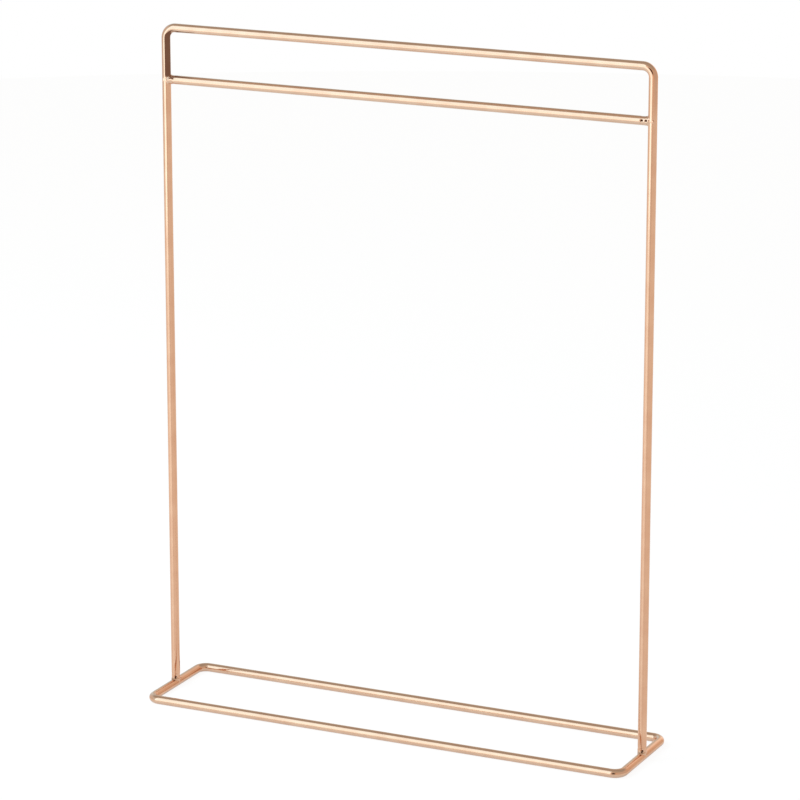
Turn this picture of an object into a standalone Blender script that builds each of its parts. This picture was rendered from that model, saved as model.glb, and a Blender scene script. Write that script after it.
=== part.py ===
"""Photo album stand: a wire hoop with a hanging bar, welded onto a wire base ring.

The hoop is one wire bent into an upside-down U. A straight crossbar butts between its
legs a little below the top, and the album hangs from that bar. The base is one wire bent
into a long, narrow rectangle that lies flat, and each leg stands on the middle of one of
its short sides. Weld beads hold the wires together.

X runs along the width, Y along the depth, Z up. The floor is Z = 0, and the origin is the
middle of the footprint.
"""

import math

import bmesh
import bpy
from mathutils import Matrix, Vector

# Driving dimensions, in metres. Widths, depths and drops are between wire centrelines.
WIRE_DIAMETER = 0.0038
OVERALL_HEIGHT = 0.3000
HOOP_WIDTH = 0.2245
BASE_DEPTH = 0.0485
CROSSBAR_DROP = 0.0225
HOOP_BEND_RADIUS = 0.0045
BASE_BEND_RADIUS = 0.0045

# How much the crossbar's cut ends are dressed down, under their beads.
CROSSBAR_END_TAPER = 0.0003

# Weld beads: how far they stand proud of a wire, and how far they run along it.
BEAD_THICKNESS = 0.00065
FOOT_BEAD_SPREAD = 0.0018
FOOT_BEAD_RISE = 0.0020
CROSSBAR_BEAD_REACH = 0.0024

# Clearance between pieces that touch, and between the two ends of the base wire.
SEAT_GAP = 0.0003

# Mesh resolution. WIRE_SIDES is a multiple of four, so a flat faces each way along the axes.
WIRE_SIDES = 24
BEND_STEPS = 8
BEAD_SEGMENTS = 32
BEAD_RISE_STEPS = 6
BEAD_SEAT_STEPS = 3
SHARP_ANGLE = math.radians(35)

# Places that follow from the sizes above. A bead's channels clear the corners of the wires.
WIRE_RADIUS = WIRE_DIAMETER / 2
WIRE_CORNER_RADIUS = WIRE_RADIUS / math.cos(math.pi / WIRE_SIDES)
CHANNEL_RADIUS = (WIRE_CORNER_RADIUS + SEAT_GAP) / math.cos(math.pi / BEAD_SEGMENTS)
HALF_WIDTH = HOOP_WIDTH / 2
TOP_BAR_Z = OVERALL_HEIGHT - WIRE_RADIUS
CROSSBAR_Z = TOP_BAR_Z - CROSSBAR_DROP
BASE_Z = WIRE_RADIUS
RING_TOP_Z = WIRE_DIAMETER
SIDES = {"left": -1, "right": 1}

# Linear colours of the plating on the wires and of the plating over the beads.
WIRE_COLOUR = (0.78, 0.46, 0.32)
BEAD_COLOUR = (0.80, 0.50, 0.36)
WIRE_ROUGHNESS = 0.12
BEAD_ROUGHNESS = 0.22


def clear_scene():
    """Remove every object, so the script starts from an empty scene."""
    for obj in list(bpy.data.objects):
        bpy.data.objects.remove(obj, do_unlink=True)


def plated_steel(name, colour, roughness):
    """Return a polished, rose-gold plated steel material."""
    material = bpy.data.materials.new(name)
    material.use_nodes = True
    shader = material.node_tree.nodes["Principled BSDF"]
    shader.inputs["Base Color"].default_value = (*colour, 1)
    shader.inputs["Metallic"].default_value = 1
    shader.inputs["Roughness"].default_value = roughness
    return material


def finish_mesh(name, bm, colour, roughness):
    """Turn a bmesh into a smooth-shaded object with a material of its own."""
    bmesh.ops.recalc_face_normals(bm, faces=bm.faces)
    mesh = bpy.data.meshes.new(name)
    bm.to_mesh(mesh)
    bm.free()
    mesh.shade_smooth()
    mesh.set_sharp_from_angle(angle=SHARP_ANGLE)
    mesh.materials.append(plated_steel(name + "_plating", colour, roughness))
    obj = bpy.data.objects.new(name, mesh)
    bpy.context.collection.objects.link(obj)
    return obj


def wire_mesh(start, heading, moves, radius):
    """Sweep a wire from start: each move is a run, a taper, or a quarter bend.

    A run is ("run", length). A taper is ("taper", length, radius), a run that ends at
    another radius. A bend is ("bend", axis, centreline radius) and turns the heading a
    quarter turn about the axis. Radii of the wire are measured to its section's flats.
    """
    bm = bmesh.new()
    position, heading = Vector(start), Vector(heading)
    placed = Matrix.Translation(position) @ heading.to_track_quat("Z", "Y").to_matrix().to_4x4()
    half_side = Matrix.Rotation(math.pi / WIRE_SIDES, 4, "Z")
    circle = bmesh.ops.create_circle(
        bm, segments=WIRE_SIDES, radius=radius / math.cos(math.pi / WIRE_SIDES),
        matrix=placed @ half_side,
    )
    front = list({edge for vert in circle["verts"] for edge in vert.link_edges})
    bmesh.ops.edgeloop_fill(bm, edges=front)
    for move in moves:
        if move[0] == "bend":
            axis, bend_radius = Vector(move[1]), move[2]
            centre = position + axis.cross(heading) * bend_radius
            turned = bmesh.ops.spin(
                bm, geom=front, cent=centre, axis=axis, angle=math.pi / 2, steps=BEND_STEPS
            )["geom_last"]
            front = [item for item in turned if isinstance(item, bmesh.types.BMEdge)]
            quarter = Matrix.Rotation(math.pi / 2, 3, axis)
            position = centre + quarter @ (position - centre)
            heading = quarter @ heading
        else:
            step = heading * move[1]
            grown = bmesh.ops.extrude_edge_only(bm, edges=front)["geom"]
            verts = [item for item in grown if isinstance(item, bmesh.types.BMVert)]
            bmesh.ops.translate(bm, verts=verts, vec=step)
            front = [edge for edge in grown if is_front_edge(edge, verts)]
            position += step
            if move[0] == "taper":
                shrink = Vector.Fill(3, move[2] / radius)
                bmesh.ops.scale(bm, verts=verts, vec=shrink, space=Matrix.Translation(-position))
                radius = move[2]
    bmesh.ops.edgeloop_fill(bm, edges=front)
    return bm


def is_front_edge(item, front_verts):
    """Tell whether an extruded item is an edge of the wire's new, open end."""
    return isinstance(item, bmesh.types.BMEdge) and all(v in front_verts for v in item.verts)


def make_hoop():
    """One wire: up the left leg, across the top, down the right leg."""
    foot_z = RING_TOP_Z + SEAT_GAP
    leg = ("run", TOP_BAR_Z - HOOP_BEND_RADIUS - foot_z)
    corner = ("bend", (0, 1, 0), HOOP_BEND_RADIUS)
    top = ("run", HOOP_WIDTH - 2 * HOOP_BEND_RADIUS)
    moves = [leg, corner, top, corner, leg]
    bm = wire_mesh((-HALF_WIDTH, 0, foot_z), (0, 0, 1), moves, WIRE_RADIUS)
    return finish_mesh("upright_hoop", bm, WIRE_COLOUR, WIRE_ROUGHNESS)


def make_crossbar():
    """A straight wire whose dressed ends butt against the inner sides of the hoop's legs."""
    end_x = HALF_WIDTH - WIRE_RADIUS - SEAT_GAP
    end_radius = WIRE_RADIUS - CROSSBAR_END_TAPER
    dressed_length = CROSSBAR_BEAD_REACH + SEAT_GAP
    free_length = 2 * (end_x - dressed_length)
    moves = [("taper", dressed_length, WIRE_RADIUS), ("run", free_length)]
    moves += [("taper", dressed_length, end_radius)]
    bm = wire_mesh((-end_x, 0, CROSSBAR_Z), (1, 0, 0), moves, end_radius)
    return finish_mesh("crossbar", bm, WIRE_COLOUR, WIRE_ROUGHNESS)


def make_base_ring():
    """One wire bent into a flat rectangle. Its two ends meet under the left foot's weld."""
    corner = ("bend", (0, 0, 1), BASE_BEND_RADIUS)
    long_rail = ("run", HOOP_WIDTH - 2 * BASE_BEND_RADIUS)
    short_rail = ("run", BASE_DEPTH - 2 * BASE_BEND_RADIUS)
    half_short_rail = ("run", (BASE_DEPTH - SEAT_GAP) / 2 - BASE_BEND_RADIUS)
    moves = [half_short_rail, corner, long_rail, corner, short_rail, corner]
    moves += [long_rail, corner, half_short_rail]
    bm = wire_mesh((-HALF_WIDTH, -SEAT_GAP / 2, BASE_Z), (0, -1, 0), moves, WIRE_RADIUS)
    return finish_mesh("base_ring", bm, WIRE_COLOUR, WIRE_ROUGHNESS)


def rail_channel_height(across):
    """Height of a bead's seat above the rail's centreline, at a distance across the rail."""
    return math.sqrt(max(CHANNEL_RADIUS ** 2 - across ** 2, 0))


def bead_outline(angle, half_across, half_along, reach):
    """The closed outline of a bead, in the half plane at an angle about the stem.

    Each point is (distance from the stem's centreline, height above the rail's). The
    outline climbs the outside, drops down the stem's channel, and returns over the rail.
    """
    across, along = math.cos(angle), math.sin(angle)
    outside = 1 / math.hypot(across / half_across, along / half_along)
    wall = outside - CHANNEL_RADIUS
    outline = [(outside, rail_channel_height(outside * across))]
    for step in range(1, BEAD_RISE_STEPS + 1):
        turn = math.pi / 2 * step / BEAD_RISE_STEPS
        distance = CHANNEL_RADIUS + wall * math.cos(turn)
        outline.append((distance, CHANNEL_RADIUS + reach * math.sin(turn)))
    for step in range(BEAD_SEAT_STEPS):
        distance = CHANNEL_RADIUS + wall * step / BEAD_SEAT_STEPS
        outline.append((distance, rail_channel_height(distance * across)))
    return outline


def make_bead(name, joint, stem, rail, half_along, reach):
    """A weld bead: a rounded collar about a stem, saddled on the rail that the stem meets.

    The joint is where the two centrelines cross. The stem runs away from it, square to
    the rail. The bead is half_along each way along the rail, and climbs the stem by reach.
    """
    joint, stem, rail = Vector(joint), Vector(stem), Vector(rail)
    across = rail.cross(stem)
    bm = bmesh.new()
    columns = []
    for number in range(BEAD_SEGMENTS):
        angle = 2 * math.pi * number / BEAD_SEGMENTS
        outward = across * math.cos(angle) + rail * math.sin(angle)
        outline = bead_outline(angle, WIRE_RADIUS + BEAD_THICKNESS, half_along, reach)
        columns.append([
            bm.verts.new(joint + outward * distance + stem * height)
            for distance, height in outline
        ])
    for column, neighbour in zip(columns, columns[1:] + columns[:1]):
        for row in range(len(column)):
            corners = (column[row - 1], neighbour[row - 1], neighbour[row], column[row])
            bm.faces.new(corners)
    return finish_mesh(name, bm, BEAD_COLOUR, BEAD_ROUGHNESS)


def make_foot_weld(side):
    """The bead that saddles the base ring and wraps the bottom of a leg."""
    joint = (SIDES[side] * HALF_WIDTH, 0, BASE_Z)
    half_along = WIRE_RADIUS + FOOT_BEAD_SPREAD
    return make_bead("foot_weld_" + side, joint, (0, 0, 1), (0, 1, 0), half_along, FOOT_BEAD_RISE)


def make_crossbar_weld(side):
    """The bead around one end of the crossbar, against the inner side of a leg."""
    joint = (SIDES[side] * HALF_WIDTH, 0, CROSSBAR_Z)
    inward = (-SIDES[side], 0, 0)
    half_along = WIRE_RADIUS + BEAD_THICKNESS
    name = "crossbar_weld_" + side
    return make_bead(name, joint, inward, (0, 0, 1), half_along, CROSSBAR_BEAD_REACH)


def main():
    clear_scene()
    make_hoop()
    make_crossbar()
    make_base_ring()
    for side in SIDES:
        make_crossbar_weld(side)
        make_foot_weld(side)


main()
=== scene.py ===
"""Looks of a free-standing wire stand: three bent wires, four weld beads, rose-gold plating.

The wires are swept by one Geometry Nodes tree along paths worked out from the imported
frame. The beads are lumps fused with short stubs of the wires they hold.
"""

import math

import bmesh  # noqa: E402
import bpy  # noqa: E402
from mathutils import Matrix, Vector, noise  # noqa: E402


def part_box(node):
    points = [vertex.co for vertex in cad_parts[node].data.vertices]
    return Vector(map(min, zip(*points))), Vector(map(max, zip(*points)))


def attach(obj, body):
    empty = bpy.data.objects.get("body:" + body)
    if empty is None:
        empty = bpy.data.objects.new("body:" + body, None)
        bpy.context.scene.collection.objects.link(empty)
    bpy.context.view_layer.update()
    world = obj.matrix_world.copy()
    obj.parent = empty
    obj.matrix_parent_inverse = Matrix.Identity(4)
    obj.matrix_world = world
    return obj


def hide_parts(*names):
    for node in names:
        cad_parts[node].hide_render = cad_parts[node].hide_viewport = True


MM = 0.001
BODY = "root"
SIDES = {"left": -1, "right": 1}

# Camera: where it looks from, in degrees, and at what.
CAMERA_AZIMUTH = 25.31
CAMERA_ELEVATION = 15.03
CAMERA_DISTANCE = 1659.4 * MM
CAMERA_TARGET = Vector((-1.26, 0, 145.47)) * MM
CAMERA_LENS_MM = 175.0
CAMERA_CLIP_START = 0.05

# Wires: the frame gives their places and thickness, and these give what it can't.
HOOP_BEND_RADIUS = 4.5 * MM
BASE_BEND_RADIUS = 4.5 * MM
WIRE_BEND_STEPS = 24
WIRE_RING_SPACING = 0.6 * MM
WIRE_SIDES = 36
BOW_HEIGHT = 0.06 * MM
BOW_LENGTH = 70 * MM

# Beads: skin resolution, and the lumpiness that a hand-held torch leaves close to a joint.
BEAD_VOXEL = 0.16 * MM
BEAD_RELAX_STEPS = 14
LUMP_HEIGHT = 0.13 * MM
LUMP_SIZE = 1.1 * MM
LUMPY_REACH = 4.2 * MM
LUMPY_FADE = 1.6 * MM
SEED_SHIFT = 7.3

# How far from a joint the bead alone carries the shape, before the wire's own skin begins.
BEAD_ALONE_ON_LEG = 2.4 * MM
BEAD_ALONE_ON_BAR = 3.3 * MM

# Stubs of wire that a bead is fused with. They are a hair thinner than the wires, so past
# the bead they stay hidden inside them.
STUB_THICKNESS = 0.985
RAIL_STUB_LENGTH = 12 * MM
LEG_STUB_LENGTH = 7 * MM
LEG_STUB_RISE = 2.5 * MM
BAR_STUB_LENGTH = 9 * MM
BAR_STUB_INSET = 1.5 * MM
HOOP_STUB_LENGTH = 11 * MM

# Weld metal at a foot: a collar set towards the back, and a drip at its front right. The
# collar's sizes are how far it stands past the wires. FRONT values are in wire radii.
FOOT_COLLAR_BACK = 0.35 * MM
FOOT_COLLAR_ACROSS = 0.10 * MM
FOOT_COLLAR_ALONG = 1.1 * MM
FOOT_COLLAR_RISE = 0.9 * MM
FOOT_DRIP_RIGHT = 0.7 * MM
FOOT_DRIP_FRONT = 0.85
FOOT_DRIP = (0.8 * MM, 0.6 * MM, 0.5 * MM)

# Weld metal at an end of the crossbar: how far it runs along the bar, and stands past it.
BAR_COLLAR_ALONG = 3.0 * MM
BAR_COLLAR_DEPTH = 0.16 * MM
BAR_COLLAR_HEIGHT = 0.12 * MM

# Gas pits in the beads. At the crossbar only the right bead has any, each given by its
# distance from the leg and its depth. FRONT and BAR_PIT_RISE are in wire radii.
PIT_RADIUS = 0.80 * MM
FOOT_PIT_RIGHT = 0.8 * MM
FOOT_PIT_FRONT = 0.9
FOOT_PIT_RISE = 1.00 * MM
FOOT_PIT_DEPTH = 0.45 * MM
BAR_PIT_FRONT = 0.96
BAR_PIT_RISE = 0.20
BAR_PITS = {
    "left": (),
    "right": ((0.4 * MM, 0.45 * MM), (2.3 * MM, 0.50 * MM)),
}

# Plating: roughness, and the relief of its orange peel, on drawn wire and on weld metal.
WIRE_ROUGHNESS = 0.10
WIRE_PEEL_RELIEF = 0.0012 * MM
BEAD_ROUGHNESS = 0.20
BEAD_PEEL_RELIEF = 0.0040 * MM


def linear(hex_colour):
    """Return an sRGB hex colour as a linear RGBA tuple."""
    channels = [int(hex_colour[i:i + 2], 16) / 255 for i in (1, 3, 5)]
    spread = [c / 12.92 if c <= 0.04045 else ((c + 0.055) / 1.055) ** 2.4 for c in channels]
    return (*spread, 1)


def add(tree, kind, inputs=None, **settings):
    """Add a node with its settings. Each input is a value, or a socket to link from."""
    node = tree.nodes.new(kind)
    for key, value in settings.items():
        setattr(node, key, value)
    for key, value in (inputs or {}).items():
        if isinstance(value, bpy.types.NodeSocket):
            tree.links.new(value, node.inputs[key])
        else:
            node.inputs[key].default_value = value
    return node


def blank_material(name):
    """Return a new material with an empty node tree."""
    material = bpy.data.materials.new(name)
    material.use_nodes = True
    material.node_tree.nodes.clear()
    return material


def link_object(name, data):
    """Put mesh, curve, lamp or camera data into the scene as an object."""
    obj = bpy.data.objects.new(name, data)
    bpy.context.scene.collection.objects.link(obj)
    return obj


def mesh_object(name, bm):
    """Put a finished bmesh into the scene as an object, and free it."""
    mesh = bpy.data.meshes.new(name)
    bm.to_mesh(mesh)
    bm.free()
    return link_object(name, mesh)


def plain_mesh(source, name):
    """Turn an object with modifiers into a plain mesh object, and remove the source."""
    bpy.context.view_layer.update()
    depsgraph = bpy.context.evaluated_depsgraph_get()
    mesh = bpy.data.meshes.new_from_object(source.evaluated_get(depsgraph))
    bpy.data.objects.remove(source)
    mesh.name = name
    return link_object(name, mesh)


def camera_heading():
    """The direction in which the camera looks."""
    azimuth, elevation = math.radians(CAMERA_AZIMUTH), math.radians(CAMERA_ELEVATION)
    return Vector((
        -math.sin(azimuth) * math.cos(elevation),
        math.cos(azimuth) * math.cos(elevation),
        -math.sin(elevation),
    ))


def place_camera():
    """A long lens, a little above the stand and to the right of its front."""
    heading = camera_heading()
    lens = bpy.data.cameras.new("camera")
    lens.lens = CAMERA_LENS_MM
    lens.clip_start = CAMERA_CLIP_START
    camera = link_object("camera", lens)
    camera.location = CAMERA_TARGET - heading * CAMERA_DISTANCE
    camera.rotation_euler = heading.to_track_quat("-Z", "Y").to_euler()
    bpy.context.scene.camera = camera


# ---------------------------------------------------------------- wires

def bent_wire_tree():
    """Geometry Nodes: round a path's corners, bow it slightly, and sweep a round wire.

    The wire carries two attributes for its plating: run, the distance along it, and
    round, the place on its round section.
    """
    tree = bpy.data.node_groups.new("bent_wire", "GeometryNodeTree")
    sockets = tree.interface
    sockets.new_socket("Path", in_out="INPUT", socket_type="NodeSocketGeometry")
    for name in ("Wire Radius", "Bend Radius", "Ring Spacing", "Bow Height", "Bow Length"):
        sockets.new_socket(name, in_out="INPUT", socket_type="NodeSocketFloat")
    sockets.new_socket("Sides", in_out="INPUT", socket_type="NodeSocketInt")
    sockets.new_socket("Plating", in_out="INPUT", socket_type="NodeSocketMaterial")
    sockets.new_socket("Wire", in_out="OUTPUT", socket_type="NodeSocketGeometry")
    given = add(tree, "NodeGroupInput").outputs

    rounded = add(tree, "GeometryNodeFilletCurve", {
        "Curve": given["Path"], "Radius": given["Bend Radius"], "Count": WIRE_BEND_STEPS,
        "Limit Radius": True,
    }, mode="POLY")
    stepped = add(tree, "GeometryNodeResampleCurve", {
        "Curve": rounded.outputs["Curve"], "Length": given["Ring Spacing"],
    }, mode="LENGTH")

    place = add(tree, "GeometryNodeInputPosition")
    waves = add(tree, "ShaderNodeVectorMath", {
        0: place.outputs["Position"], 1: given["Bow Length"],
    }, operation="DIVIDE")
    wander = add(tree, "ShaderNodeTexNoise", {
        "Vector": waves.outputs["Vector"], "Scale": 1.0, "Detail": 1.0,
    })
    centred = add(tree, "ShaderNodeVectorMath", {
        0: wander.outputs["Color"], 1: (0.5, 0.5, 0.5),
    }, operation="SUBTRACT")
    bow = add(tree, "ShaderNodeVectorMath", {
        0: centred.outputs["Vector"], "Scale": given["Bow Height"],
    }, operation="SCALE")
    bowed = add(tree, "GeometryNodeSetPosition", {
        "Geometry": stepped.outputs["Curve"], "Offset": bow.outputs["Vector"],
    })

    run = add(tree, "GeometryNodeSplineParameter")
    marked = add(tree, "GeometryNodeStoreNamedAttribute", {
        "Geometry": bowed.outputs["Geometry"], "Name": "run", "Value": run.outputs["Length"],
    }, data_type="FLOAT", domain="POINT")

    circle = add(tree, "GeometryNodeCurvePrimitiveCircle", {
        "Resolution": given["Sides"], "Radius": given["Wire Radius"],
    }, mode="RADIUS")
    round_place = add(tree, "GeometryNodeInputPosition")
    profile = add(tree, "GeometryNodeStoreNamedAttribute", {
        "Geometry": circle.outputs["Curve"], "Name": "round",
        "Value": round_place.outputs["Position"],
    }, data_type="FLOAT_VECTOR", domain="POINT")

    swept = add(tree, "GeometryNodeCurveToMesh", {
        "Curve": marked.outputs["Geometry"], "Profile Curve": profile.outputs["Geometry"],
        "Fill Caps": True,
    })
    smooth = add(tree, "GeometryNodeSetShadeSmooth", {
        "Geometry": swept.outputs["Mesh"], "Shade Smooth": True,
    })
    real = add(tree, "GeometryNodeRealizeInstances", {"Geometry": smooth.outputs["Geometry"]})
    plated = add(tree, "GeometryNodeSetMaterial", {
        "Geometry": real.outputs["Geometry"], "Material": given["Plating"],
    })
    add(tree, "NodeGroupOutput", {"Wire": plated.outputs["Geometry"]})
    return tree


def sweep_wire(tree, node, corners, closed, bend_radius, wire_radius, plating):
    """Sweep one wire through its corner points, and return it as a plain mesh object."""
    path = bpy.data.curves.new(node + "_path", "CURVE")
    path.dimensions = "3D"
    spline = path.splines.new("POLY")
    spline.points.add(len(corners) - 1)
    for point, corner in zip(spline.points, corners):
        point.co = (*corner, 1)
    spline.use_cyclic_u = closed
    source = link_object(node + "_path", path)
    sweep = source.modifiers.new("wire", "NODES")
    sweep.node_group = tree
    values = {
        "Wire Radius": wire_radius, "Bend Radius": bend_radius,
        "Ring Spacing": WIRE_RING_SPACING, "Bow Height": BOW_HEIGHT,
        "Bow Length": BOW_LENGTH, "Sides": WIRE_SIDES, "Plating": plating,
    }
    for item in tree.interface.items_tree:
        if item.in_out == "INPUT" and item.name in values:
            sweep[item.identifier] = values[item.name]
    return plain_mesh(source, node + "_wire")


# ---------------------------------------------------------------- beads

def add_rod(bm, centre, axis, length, radius):
    """Add a closed rod, centred on a point, to a bead that is being built up."""
    turned = Vector(axis).to_track_quat("Z", "Y").to_matrix().to_4x4()
    bmesh.ops.create_cone(
        bm, cap_ends=True, segments=48, radius1=radius, radius2=radius, depth=length,
        matrix=Matrix.Translation(centre) @ turned,
    )


def add_lump(bm, centre, half_sizes):
    """Add a rounded lump to a bead that is being built up."""
    bmesh.ops.create_uvsphere(
        bm, u_segments=40, v_segments=24, radius=1,
        matrix=Matrix.LocRotScale(Vector(centre), None, Vector(half_sizes)),
    )


def fuse_bead(bm, node, seed, joint, pits, plating):
    """Melt rods and lumps into one skin with soft hollows between them, as weld metal has."""
    source = mesh_object(node + "_lumps", bm)
    melt = source.modifiers.new("melt", "REMESH")
    melt.mode = "VOXEL"
    melt.voxel_size = BEAD_VOXEL
    melt.use_smooth_shade = True
    relax = source.modifiers.new("relax", "SMOOTH")
    relax.factor = 0.5
    relax.iterations = BEAD_RELAX_STEPS
    bead = plain_mesh(source, node + "_bead")
    roughen_bead(bead.data, seed, joint, pits)
    bead.data.shade_smooth()
    bead.data.materials.clear()
    bead.data.materials.append(plating)
    return bead


def roughen_bead(mesh, seed, joint, pits):
    """Make a bead's skin lumpy close to its joint, and sink the gas pits into it.

    Each pit is (centre, depth). The attribute pitted is 1 at the middle of a pit and 0
    away from it, and the weld plating paints shade into the pits by it.
    """
    offset = Vector((seed, 0, 0)) * SEED_SHIFT
    normals = [vertex.normal.copy() for vertex in mesh.vertices]
    pitted = mesh.attributes.new("pitted", "FLOAT", "POINT").data
    for vertex, normal in zip(mesh.vertices, normals):
        away = (vertex.co - Vector(joint)).length
        lumpy = min(max((LUMPY_REACH - away) / LUMPY_FADE, 0), 1)
        lift = noise.noise(vertex.co / LUMP_SIZE + offset) * LUMP_HEIGHT * lumpy
        for centre, depth in pits:
            near = max(0, 1 - (vertex.co - Vector(centre)).length / PIT_RADIUS)
            hollow = near * near * (3 - 2 * near)
            lift -= depth * hollow
            pitted[vertex.index].value = max(pitted[vertex.index].value, hollow)
        vertex.co += normal * lift


# ---------------------------------------------------------------- plating

def rose_gold_plate(name, on_wire, roughness, peel_relief):
    """Rose gold electroplated over polished steel.

    The copper in the alloy gives the pink, and the thin plate follows the polished steel
    below it, so the eye sees sharp reflections, a soft orange-peel waver in them, and on
    a drawn wire faint lines that run lengthwise.
    """
    material = blank_material(name)
    tree = material.node_tree
    if on_wire:
        run = add(tree, "ShaderNodeAttribute", attribute_name="run").outputs["Fac"]
        turn = add(tree, "ShaderNodeAttribute", attribute_name="round").outputs["Vector"]
        along = add(tree, "ShaderNodeCombineXYZ", {"Z": run}).outputs["Vector"]
        place = add(tree, "ShaderNodeVectorMath", {0: turn, 1: along}, operation="ADD")
        place = place.outputs["Vector"]
    else:
        place = add(tree, "ShaderNodeTexCoord").outputs["Object"]

    # Plate thickness drifts over about 9 mm, and shifts the tone a little.
    drift = add(tree, "ShaderNodeTexNoise", {
        "Vector": place, "Scale": 1 / (9 * MM), "Detail": 3.0, "Roughness": 0.55,
    })
    tone = add(tree, "ShaderNodeValToRGB", {"Fac": drift.outputs["Fac"]})
    tone.color_ramp.elements[0].position = 0.3
    tone.color_ramp.elements[0].color = linear("#E6B394")
    tone.color_ramp.elements[1].position = 0.7
    tone.color_ramp.elements[1].color = linear("#EEBFA0")
    colour = tone.outputs["Color"]
    if not on_wire:
        # Painted shade: the bottom of a gas pit is darkened in the plating's colour.
        pitted = add(tree, "ShaderNodeAttribute", attribute_name="pitted").outputs["Fac"]
        pit_shade = add(tree, "ShaderNodeMapRange", {
            "Value": pitted, "From Min": 0.15, "From Max": 0.55,
        })
        colour = add(tree, "ShaderNodeMix", {
            0: pit_shade.outputs["Result"], 6: colour, 7: linear("#4A2818"),
        }, data_type="RGBA").outputs[2]

    # Lines that the drawing die leaves, 30 mm long. Real ones are some 0.03 mm apart, too
    # fine to show, so these are 0.12 mm apart around the wire.
    stretch = (1 / (0.12 * MM), 1 / (0.12 * MM), 1 / (30 * MM))
    combed = add(tree, "ShaderNodeVectorMath", {0: place, 1: stretch}, operation="MULTIPLY")
    lines = add(tree, "ShaderNodeTexNoise", {
        "Vector": combed.outputs["Vector"], "Scale": 1.0, "Detail": 2.0,
    })
    # Haze from the polishing mop, in patches of 2 mm.
    haze = add(tree, "ShaderNodeTexNoise", {
        "Vector": place, "Scale": 1 / (2 * MM), "Detail": 4.0, "Roughness": 0.6,
    })
    blend = add(tree, "ShaderNodeMath", {
        0: lines.outputs["Fac"], 1: haze.outputs["Fac"],
    }, operation="MULTIPLY")
    gloss = add(tree, "ShaderNodeMapRange", {
        "Value": blend.outputs["Value"], "From Min": 0.12, "From Max": 0.40,
        "To Min": roughness * 0.7, "To Max": roughness * 1.4,
    })

    # Orange peel of the levelled plate, 0.8 mm from crest to crest.
    peel = add(tree, "ShaderNodeTexNoise", {
        "Vector": place, "Scale": 1 / (0.8 * MM), "Detail": 2.0, "Roughness": 0.4,
    })
    combed_relief = add(tree, "ShaderNodeBump", {
        "Height": lines.outputs["Fac"], "Distance": 0.0004 * MM, "Strength": 0.6,
    })
    surface = add(tree, "ShaderNodeBump", {
        "Height": peel.outputs["Fac"], "Distance": peel_relief, "Strength": 0.8,
        "Normal": combed_relief.outputs["Normal"],
    })
    metal = add(tree, "ShaderNodeBsdfPrincipled", {
        "Base Color": colour, "Metallic": 1.0,
        "Roughness": gloss.outputs["Result"], "Normal": surface.outputs["Normal"],
    })
    add(tree, "ShaderNodeOutputMaterial", {"Surface": metal.outputs["BSDF"]})
    return material


# ---------------------------------------------------------------- studio

# Light levels in this part are linear, and several are above 1, which no hex colour can give.

# The table's own white: the share that the camera and the metal see, and its colours as the
# metal mirrors them, looked down on or grazed, close to the stand or far from it.
TABLE_RADIUS = 1.60
TABLE_SIDES = 96
WHITE_SHARE_SEEN = 0.85
WHITE_SHARE_MIRRORED = 0.50
WHITE_SEEN = (1.065, 1.06, 1.06, 1)
WHITE_STEEP = (0.85, 1.08, 1.22, 1)
WHITE_GRAZED_NEAR = (1.18, 1.06, 0.94, 1)
WHITE_GRAZED_FAR = (1.40, 1.36, 1.26, 1)

# Where steep turns to grazed, as the Layer Weight's facing, and near to far, in metres.
STEEP_TO_GRAZED = (0.45, 0.72)
NEAR_TO_FAR = (0.3, 1.1)

# Walls of the room that the metal mirrors, from the left (-1) round the back to the right (1).
WALLS = (
    (-1.0, (0.72, 0.73, 0.72, 1)),
    (-0.6, (0.70, 0.95, 1.10, 1)),
    (-0.4, (0.60, 0.62, 0.55, 1)),
    (0.0, (1.15, 1.10, 1.05, 1)),
    (0.4, (0.76, 0.60, 0.46, 1)),
    (1.0, (0.62, 0.60, 0.57, 1)),
)

# The ceiling, and how far up the walls turn into it and its front into its back, as the Z
# and the Y of a direction.
CEILING_FRONT = (0.51, 0.53, 0.49, 1)
CEILING_BACK = (0.42, 0.45, 0.44, 1)
WALL_TO_CEILING = (0.42, 0.75)
FRONT_TO_BACK = (-0.25, 0.15)

# A dark doorway behind the camera: its turn from there, and its soft edge, as the cosine of
# the angle from its middle.
DOORWAY = (0.05, 0.035, 0.03, 1)
DOORWAY_TURN = math.radians(-11)
DOORWAY_EDGE = (0.945, 0.985)

# Soft boxes: name, place, aim, width and height, radiance, and whether the metal mirrors them.
SOFT_BOXES = (
    (
        "front_low", (-0.44, -0.88, 0.25), (-0.02, -0.04, 0.20),
        (0.85, 0.55), (0.66, 1.07, 1.33), True,
    ),
    (
        "front_high", (-0.40, -0.74, 0.85), (-0.02, -0.04, 0.28),
        (0.85, 0.70), (0.68, 1.12, 1.46), True,
    ),
    (
        "over_table", (-0.55, -0.30, 0.70), (-0.45, -0.20, 0),
        (0.6, 0.6), (1.9, 2.25, 2.5), False,
    ),
)

# Glowing card beside the left leg, which paints a dark reflection on it above the crossbar:
# its glow, its distance from the leg, its reach around the leg from the side that faces the
# camera towards the right, and its reach past the bar and bend.
DARK_REFLECTION_GLOW = (0.21, 0.165, 0.145, 1)
CARD_RADIUS = 4.5 * MM
CARD_FROM = math.radians(-30)
CARD_TO = math.radians(125)
CARD_OVERLAP = 1.0 * MM
CARD_STEPS = 24


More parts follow.
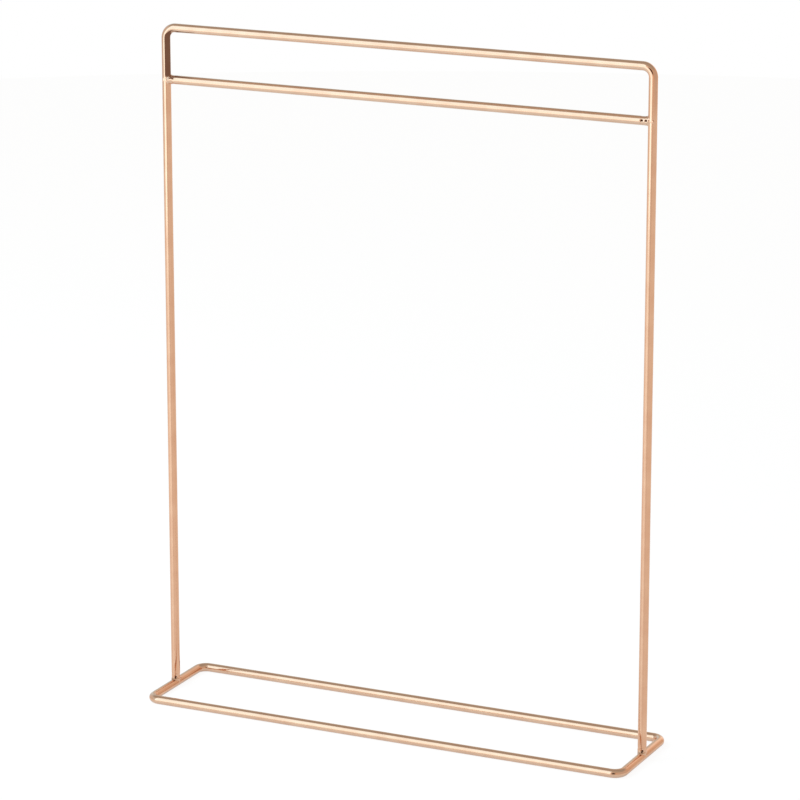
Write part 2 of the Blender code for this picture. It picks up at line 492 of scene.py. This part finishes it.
def white_table():
    """White laminate with a satin coat, which gives an even white and a soft sheen.

    Part of its white is its own light, so it stays white in the camera and in the metal.
    """
    material = blank_material("satin_white_laminate")
    tree = material.node_tree
    place = add(tree, "ShaderNodeTexCoord").outputs["Object"]
    # Paper grain under the laminate, drawn in coarse patches of about 17 mm.
    grain = add(tree, "ShaderNodeTexNoise", {"Vector": place, "Scale": 60.0, "Detail": 3.0})
    tint = add(tree, "ShaderNodeValToRGB", {"Fac": grain.outputs["Fac"]})
    tint.color_ramp.elements[0].color = linear("#F6F5F4")
    tint.color_ramp.elements[1].color = linear("#FAF9F8")
    matt = add(tree, "ShaderNodeBsdfDiffuse", {"Color": tint.outputs["Color"]})

    path = add(tree, "ShaderNodeLightPath").outputs
    seen = path["Is Camera Ray"]
    mirrored = add(tree, "ShaderNodeMath", {
        0: path["Is Glossy Ray"], 1: path["Is Transmission Ray"],
    }, operation="ADD", use_clamp=True).outputs["Value"]
    facing = add(tree, "ShaderNodeLayerWeight", {"Blend": 0.5}).outputs["Facing"]
    grazed = add(tree, "ShaderNodeMapRange", {
        "Value": facing, "From Min": STEEP_TO_GRAZED[0], "From Max": STEEP_TO_GRAZED[1],
    }).outputs["Result"]
    away = add(tree, "ShaderNodeVectorMath", {0: place}, operation="LENGTH").outputs["Value"]
    far = add(tree, "ShaderNodeMapRange", {
        "Value": away, "From Min": NEAR_TO_FAR[0], "From Max": NEAR_TO_FAR[1],
    }).outputs["Result"]
    grazed_white = add(tree, "ShaderNodeMix", {
        0: far, 6: WHITE_GRAZED_NEAR, 7: WHITE_GRAZED_FAR,
    }, data_type="RGBA")
    mirrored_white = add(tree, "ShaderNodeMix", {
        0: grazed, 6: WHITE_STEEP, 7: grazed_white.outputs[2],
    }, data_type="RGBA")
    white = add(tree, "ShaderNodeMix", {
        0: seen, 6: mirrored_white.outputs[2], 7: WHITE_SEEN,
    }, data_type="RGBA")
    own = add(tree, "ShaderNodeEmission", {"Color": white.outputs[2]})
    mirrored_share = add(tree, "ShaderNodeMath", {
        0: mirrored, 1: WHITE_SHARE_MIRRORED,
    }, operation="MULTIPLY").outputs["Value"]
    share = add(tree, "ShaderNodeMath", {
        0: seen, 1: WHITE_SHARE_SEEN, 2: mirrored_share,
    }, operation="MULTIPLY_ADD")
    body = add(tree, "ShaderNodeMixShader", {
        0: share.outputs["Value"], 1: matt.outputs["BSDF"], 2: own.outputs["Emission"],
    })

    # The coat shows only in what the metal mirrors, so the camera sees an even white.
    coat = add(tree, "ShaderNodeBsdfAnisotropic", {"Roughness": 0.25})
    fresnel = add(tree, "ShaderNodeFresnel", {"IOR": 1.45})
    coat_share = add(tree, "ShaderNodeMath", {
        0: fresnel.outputs["Fac"], 1: mirrored,
    }, operation="MULTIPLY")
    top = add(tree, "ShaderNodeMixShader", {
        0: coat_share.outputs["Value"], 1: body.outputs["Shader"], 2: coat.outputs["BSDF"],
    })
    add(tree, "ShaderNodeOutputMaterial", {"Surface": top.outputs["Shader"]})
    return material


def lay_table(z):
    """The round table top that the stand is on."""
    bm = bmesh.new()
    bmesh.ops.create_circle(bm, cap_ends=True, segments=TABLE_SIDES, radius=TABLE_RADIUS)
    bmesh.ops.translate(bm, verts=bm.verts, vec=(0, 0, z))
    table = mesh_object("table_top", bm)
    table.data.materials.append(white_table())


def hang_dark_reflection_card(sizes):
    """A curved, dim card beside the left leg, from the crossbar up to the bend.

    It paints a dark reflection, a dim glow that only the metal mirrors: the leg is darker
    there than below the crossbar.
    """
    # Painted reflection: the card glows an even, dim brown, and only the metal sees it.
    material = blank_material("painted_dark_reflection")
    glow = add(material.node_tree, "ShaderNodeEmission", {"Color": DARK_REFLECTION_GLOW})
    add(material.node_tree, "ShaderNodeOutputMaterial", {"Surface": glow.outputs["Emission"]})
    toward_camera = math.atan2(-camera_heading().y, -camera_heading().x)
    low_z = sizes["bar_z"] + sizes["wire_radius"] - CARD_OVERLAP
    high_z = sizes["top_z"] - HOOP_BEND_RADIUS + CARD_OVERLAP
    bm = bmesh.new()
    columns = []
    for step in range(CARD_STEPS + 1):
        share = step / CARD_STEPS
        angle = toward_camera + CARD_FROM + (CARD_TO - CARD_FROM) * share
        x = CARD_RADIUS * math.cos(angle) - sizes["half_width"]
        y = CARD_RADIUS * math.sin(angle)
        columns.append([bm.verts.new((x, y, z)) for z in (low_z, high_z)])
    for (low, high), (next_low, next_high) in zip(columns, columns[1:]):
        bm.faces.new((low, next_low, next_high, high))
    card = mesh_object("dark_reflection_card", bm)
    card.data.materials.append(material)
    for ray in ("camera", "diffuse", "transmission", "volume_scatter", "shadow"):
        setattr(card, "visible_" + ray, False)


def hang_soft_box(name, place, aim, size, radiance, mirrored):
    """A rectangular soft box at a place, turned to face a point. Size is width and height."""
    lamp = bpy.data.lights.new(name, "AREA")
    lamp.shape = "RECTANGLE"
    lamp.size, lamp.size_y = size
    lamp.energy = math.pi * size[0] * size[1]
    lamp.color = radiance
    obj = link_object(name, lamp)
    obj.location = place
    obj.rotation_euler = (Vector(place) - Vector(aim)).to_track_quat("Z", "Y").to_euler()
    obj.visible_glossy = mirrored


def paint_room():
    """The dim room that the metal mirrors. The camera sees plain white instead."""
    world = bpy.data.worlds.new("studio")
    bpy.context.scene.world = world
    world.use_nodes = True
    tree = world.node_tree
    tree.nodes.clear()
    direction = add(tree, "ShaderNodeTexCoord").outputs["Generated"]
    axes = add(tree, "ShaderNodeSeparateXYZ", {"Vector": direction}).outputs

    sideways = add(tree, "ShaderNodeMapRange", {"Value": axes["X"], "From Min": -1.0})
    walls = add(tree, "ShaderNodeValToRGB", {"Fac": sideways.outputs["Result"]})
    stops = walls.color_ramp.elements
    while len(stops) < len(WALLS):
        stops.new(1.0)
    for stop, (sideways_x, colour) in zip(stops, WALLS):
        stop.position = (sideways_x + 1) / 2
        stop.color = colour

    def fade(value, limits, first, second):
        """Fade softly from one colour to another as a value passes from limit to limit."""
        share = add(tree, "ShaderNodeMapRange", {
            "Value": value, "From Min": limits[0], "From Max": limits[1],
        }, interpolation_type="SMOOTHSTEP").outputs["Result"]
        mix = add(tree, "ShaderNodeMix", {0: share, 6: first, 7: second}, data_type="RGBA")
        return mix.outputs[2]

    ceiling = fade(axes["Y"], FRONT_TO_BACK, CEILING_FRONT, CEILING_BACK)
    room = fade(axes["Z"], WALL_TO_CEILING, walls.outputs["Color"], ceiling)
    doorway = Matrix.Rotation(DOORWAY_TURN, 3, "Z") @ -camera_heading()
    toward_doorway = add(tree, "ShaderNodeVectorMath", {
        0: direction, 1: doorway,
    }, operation="DOT_PRODUCT").outputs["Value"]
    room = fade(toward_doorway, DOORWAY_EDGE, room, DOORWAY)
    dim = add(tree, "ShaderNodeBackground", {"Color": room})
    white = add(tree, "ShaderNodeBackground", {"Color": (1, 1, 1, 1)})
    seen = add(tree, "ShaderNodeMixShader", {
        0: add(tree, "ShaderNodeLightPath").outputs["Is Camera Ray"],
        1: dim.outputs["Background"], 2: white.outputs["Background"],
    })
    add(tree, "ShaderNodeOutputWorld", {"Surface": seen.outputs["Shader"]})


# ---------------------------------------------------------------- assembly

def show(piece, node):
    """Let a finished piece ride on the stand and stand for its CAD node."""
    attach(piece, BODY)
    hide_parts(node)


def build_wires(sizes, plating):
    """Hoop, crossbar and base ring."""
    tree = bent_wire_tree()
    r, half_width = sizes["wire_radius"], sizes["half_width"]
    foot_z = sizes["foot_z"] + BEAD_ALONE_ON_LEG
    hoop = [
        (-half_width, 0, foot_z), (-half_width, 0, sizes["top_z"]),
        (half_width, 0, sizes["top_z"]), (half_width, 0, foot_z),
    ]
    end_x = half_width - r - BEAD_ALONE_ON_BAR
    bar = [(-end_x, 0, sizes["bar_z"]), (end_x, 0, sizes["bar_z"])]
    half_depth, base_z = sizes["half_depth"], sizes["base_z"]
    ring = [
        (x * half_width, y * half_depth, base_z) for x, y in ((-1, -1), (1, -1), (1, 1), (-1, 1))
    ]
    wires = {
        "upright_hoop": (hoop, False, HOOP_BEND_RADIUS),
        "crossbar": (bar, False, 0),
        "base_ring": (ring, True, BASE_BEND_RADIUS),
    }
    for node, (corners, closed, bend_radius) in wires.items():
        wire = sweep_wire(tree, node, corners, closed, bend_radius, r, plating)
        show(wire, node)


def build_foot_bead(sizes, side, seed, plating):
    """The bead where a leg stands on the base ring, with a gas pit at its front."""
    r, base_z = sizes["wire_radius"], sizes["base_z"]
    x, ring_top = SIDES[side] * sizes["half_width"], base_z + r
    bm = bmesh.new()
    stub = r * STUB_THICKNESS
    add_rod(bm, (x, 0, base_z), (0, 1, 0), RAIL_STUB_LENGTH, stub)
    add_rod(bm, (x, 0, ring_top + LEG_STUB_RISE), (0, 0, 1), LEG_STUB_LENGTH, stub)
    collar = (r + FOOT_COLLAR_ACROSS, r + FOOT_COLLAR_ALONG, FOOT_COLLAR_RISE)
    add_lump(bm, (x, FOOT_COLLAR_BACK, ring_top), collar)
    add_lump(bm, (x + FOOT_DRIP_RIGHT, -FOOT_DRIP_FRONT * r, ring_top), FOOT_DRIP)
    pit = (x + FOOT_PIT_RIGHT, -FOOT_PIT_FRONT * r, ring_top + FOOT_PIT_RISE)
    node = "foot_weld_" + side
    pits = [(pit, FOOT_PIT_DEPTH)]
    show(fuse_bead(bm, node, seed, (x, 0, ring_top), pits, plating), node)


def build_bar_bead(sizes, side, seed, plating):
    """The bead at one end of the crossbar, against the inner side of a leg."""
    r, bar_z, sign = sizes["wire_radius"], sizes["bar_z"], SIDES[side]
    joint_x = sign * (sizes["half_width"] - r)
    bm = bmesh.new()
    stub = r * STUB_THICKNESS
    bar_stub = (joint_x - sign * BAR_STUB_INSET, 0, bar_z)
    add_rod(bm, bar_stub, (1, 0, 0), BAR_STUB_LENGTH, stub)
    add_rod(bm, (sign * sizes["half_width"], 0, bar_z), (0, 0, 1), HOOP_STUB_LENGTH, stub)
    joint = (joint_x, 0, bar_z)
    add_lump(bm, joint, (BAR_COLLAR_ALONG, r + BAR_COLLAR_DEPTH, r + BAR_COLLAR_HEIGHT))
    pits = [
        ((joint_x - sign * along, -BAR_PIT_FRONT * r, bar_z + BAR_PIT_RISE * r), depth)
        for along, depth in BAR_PITS[side]
    ]
    node = "crossbar_weld_" + side
    show(fuse_bead(bm, node, seed, joint, pits, plating), node)


def build_beads(sizes, plating):
    """The beads at the feet and at the ends of the crossbar, each with a seed of its own."""
    for seed, side in enumerate(SIDES):
        build_foot_bead(sizes, side, seed, plating)
        build_bar_bead(sizes, side, seed + len(SIDES), plating)


def light_studio(sizes):
    """Table, card, soft boxes in front, to the left and over the table, and a dim room."""
    lay_table(sizes["floor_z"])
    # The card paints a dark reflection on the left leg above the crossbar.
    hang_dark_reflection_card(sizes)
    for box in SOFT_BOXES:
        hang_soft_box(*box)
    paint_room()
    bpy.context.scene.view_settings.view_transform = "Standard"


def read_sizes():
    """Centrelines and thickness of the wires, from the boxes of the CAD nodes."""
    hoop_low, hoop_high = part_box("upright_hoop")
    bar_low, bar_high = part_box("crossbar")
    ring_low, ring_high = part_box("base_ring")
    r = (ring_high.z - ring_low.z) / 2
    return {
        "wire_radius": r,
        "half_width": hoop_high.x - r,
        "top_z": hoop_high.z - r,
        "foot_z": hoop_low.z,
        "bar_z": (bar_low.z + bar_high.z) / 2,
        "half_depth": ring_high.y - r,
        "base_z": ring_low.z + r,
        "floor_z": ring_low.z,
    }


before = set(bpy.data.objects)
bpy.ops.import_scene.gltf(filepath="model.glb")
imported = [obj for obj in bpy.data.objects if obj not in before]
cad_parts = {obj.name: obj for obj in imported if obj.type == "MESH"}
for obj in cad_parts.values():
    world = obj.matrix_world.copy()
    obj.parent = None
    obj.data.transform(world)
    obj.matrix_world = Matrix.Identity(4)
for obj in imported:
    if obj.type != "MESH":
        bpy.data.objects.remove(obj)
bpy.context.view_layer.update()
place_camera()
stand = read_sizes()
on_wire = rose_gold_plate("rose_gold_on_drawn_wire", True, WIRE_ROUGHNESS, WIRE_PEEL_RELIEF)
on_weld = rose_gold_plate("rose_gold_on_weld", False, BEAD_ROUGHNESS, BEAD_PEEL_RELIEF)
build_wires(stand, on_wire)
build_beads(stand, on_weld)
light_studio(stand)
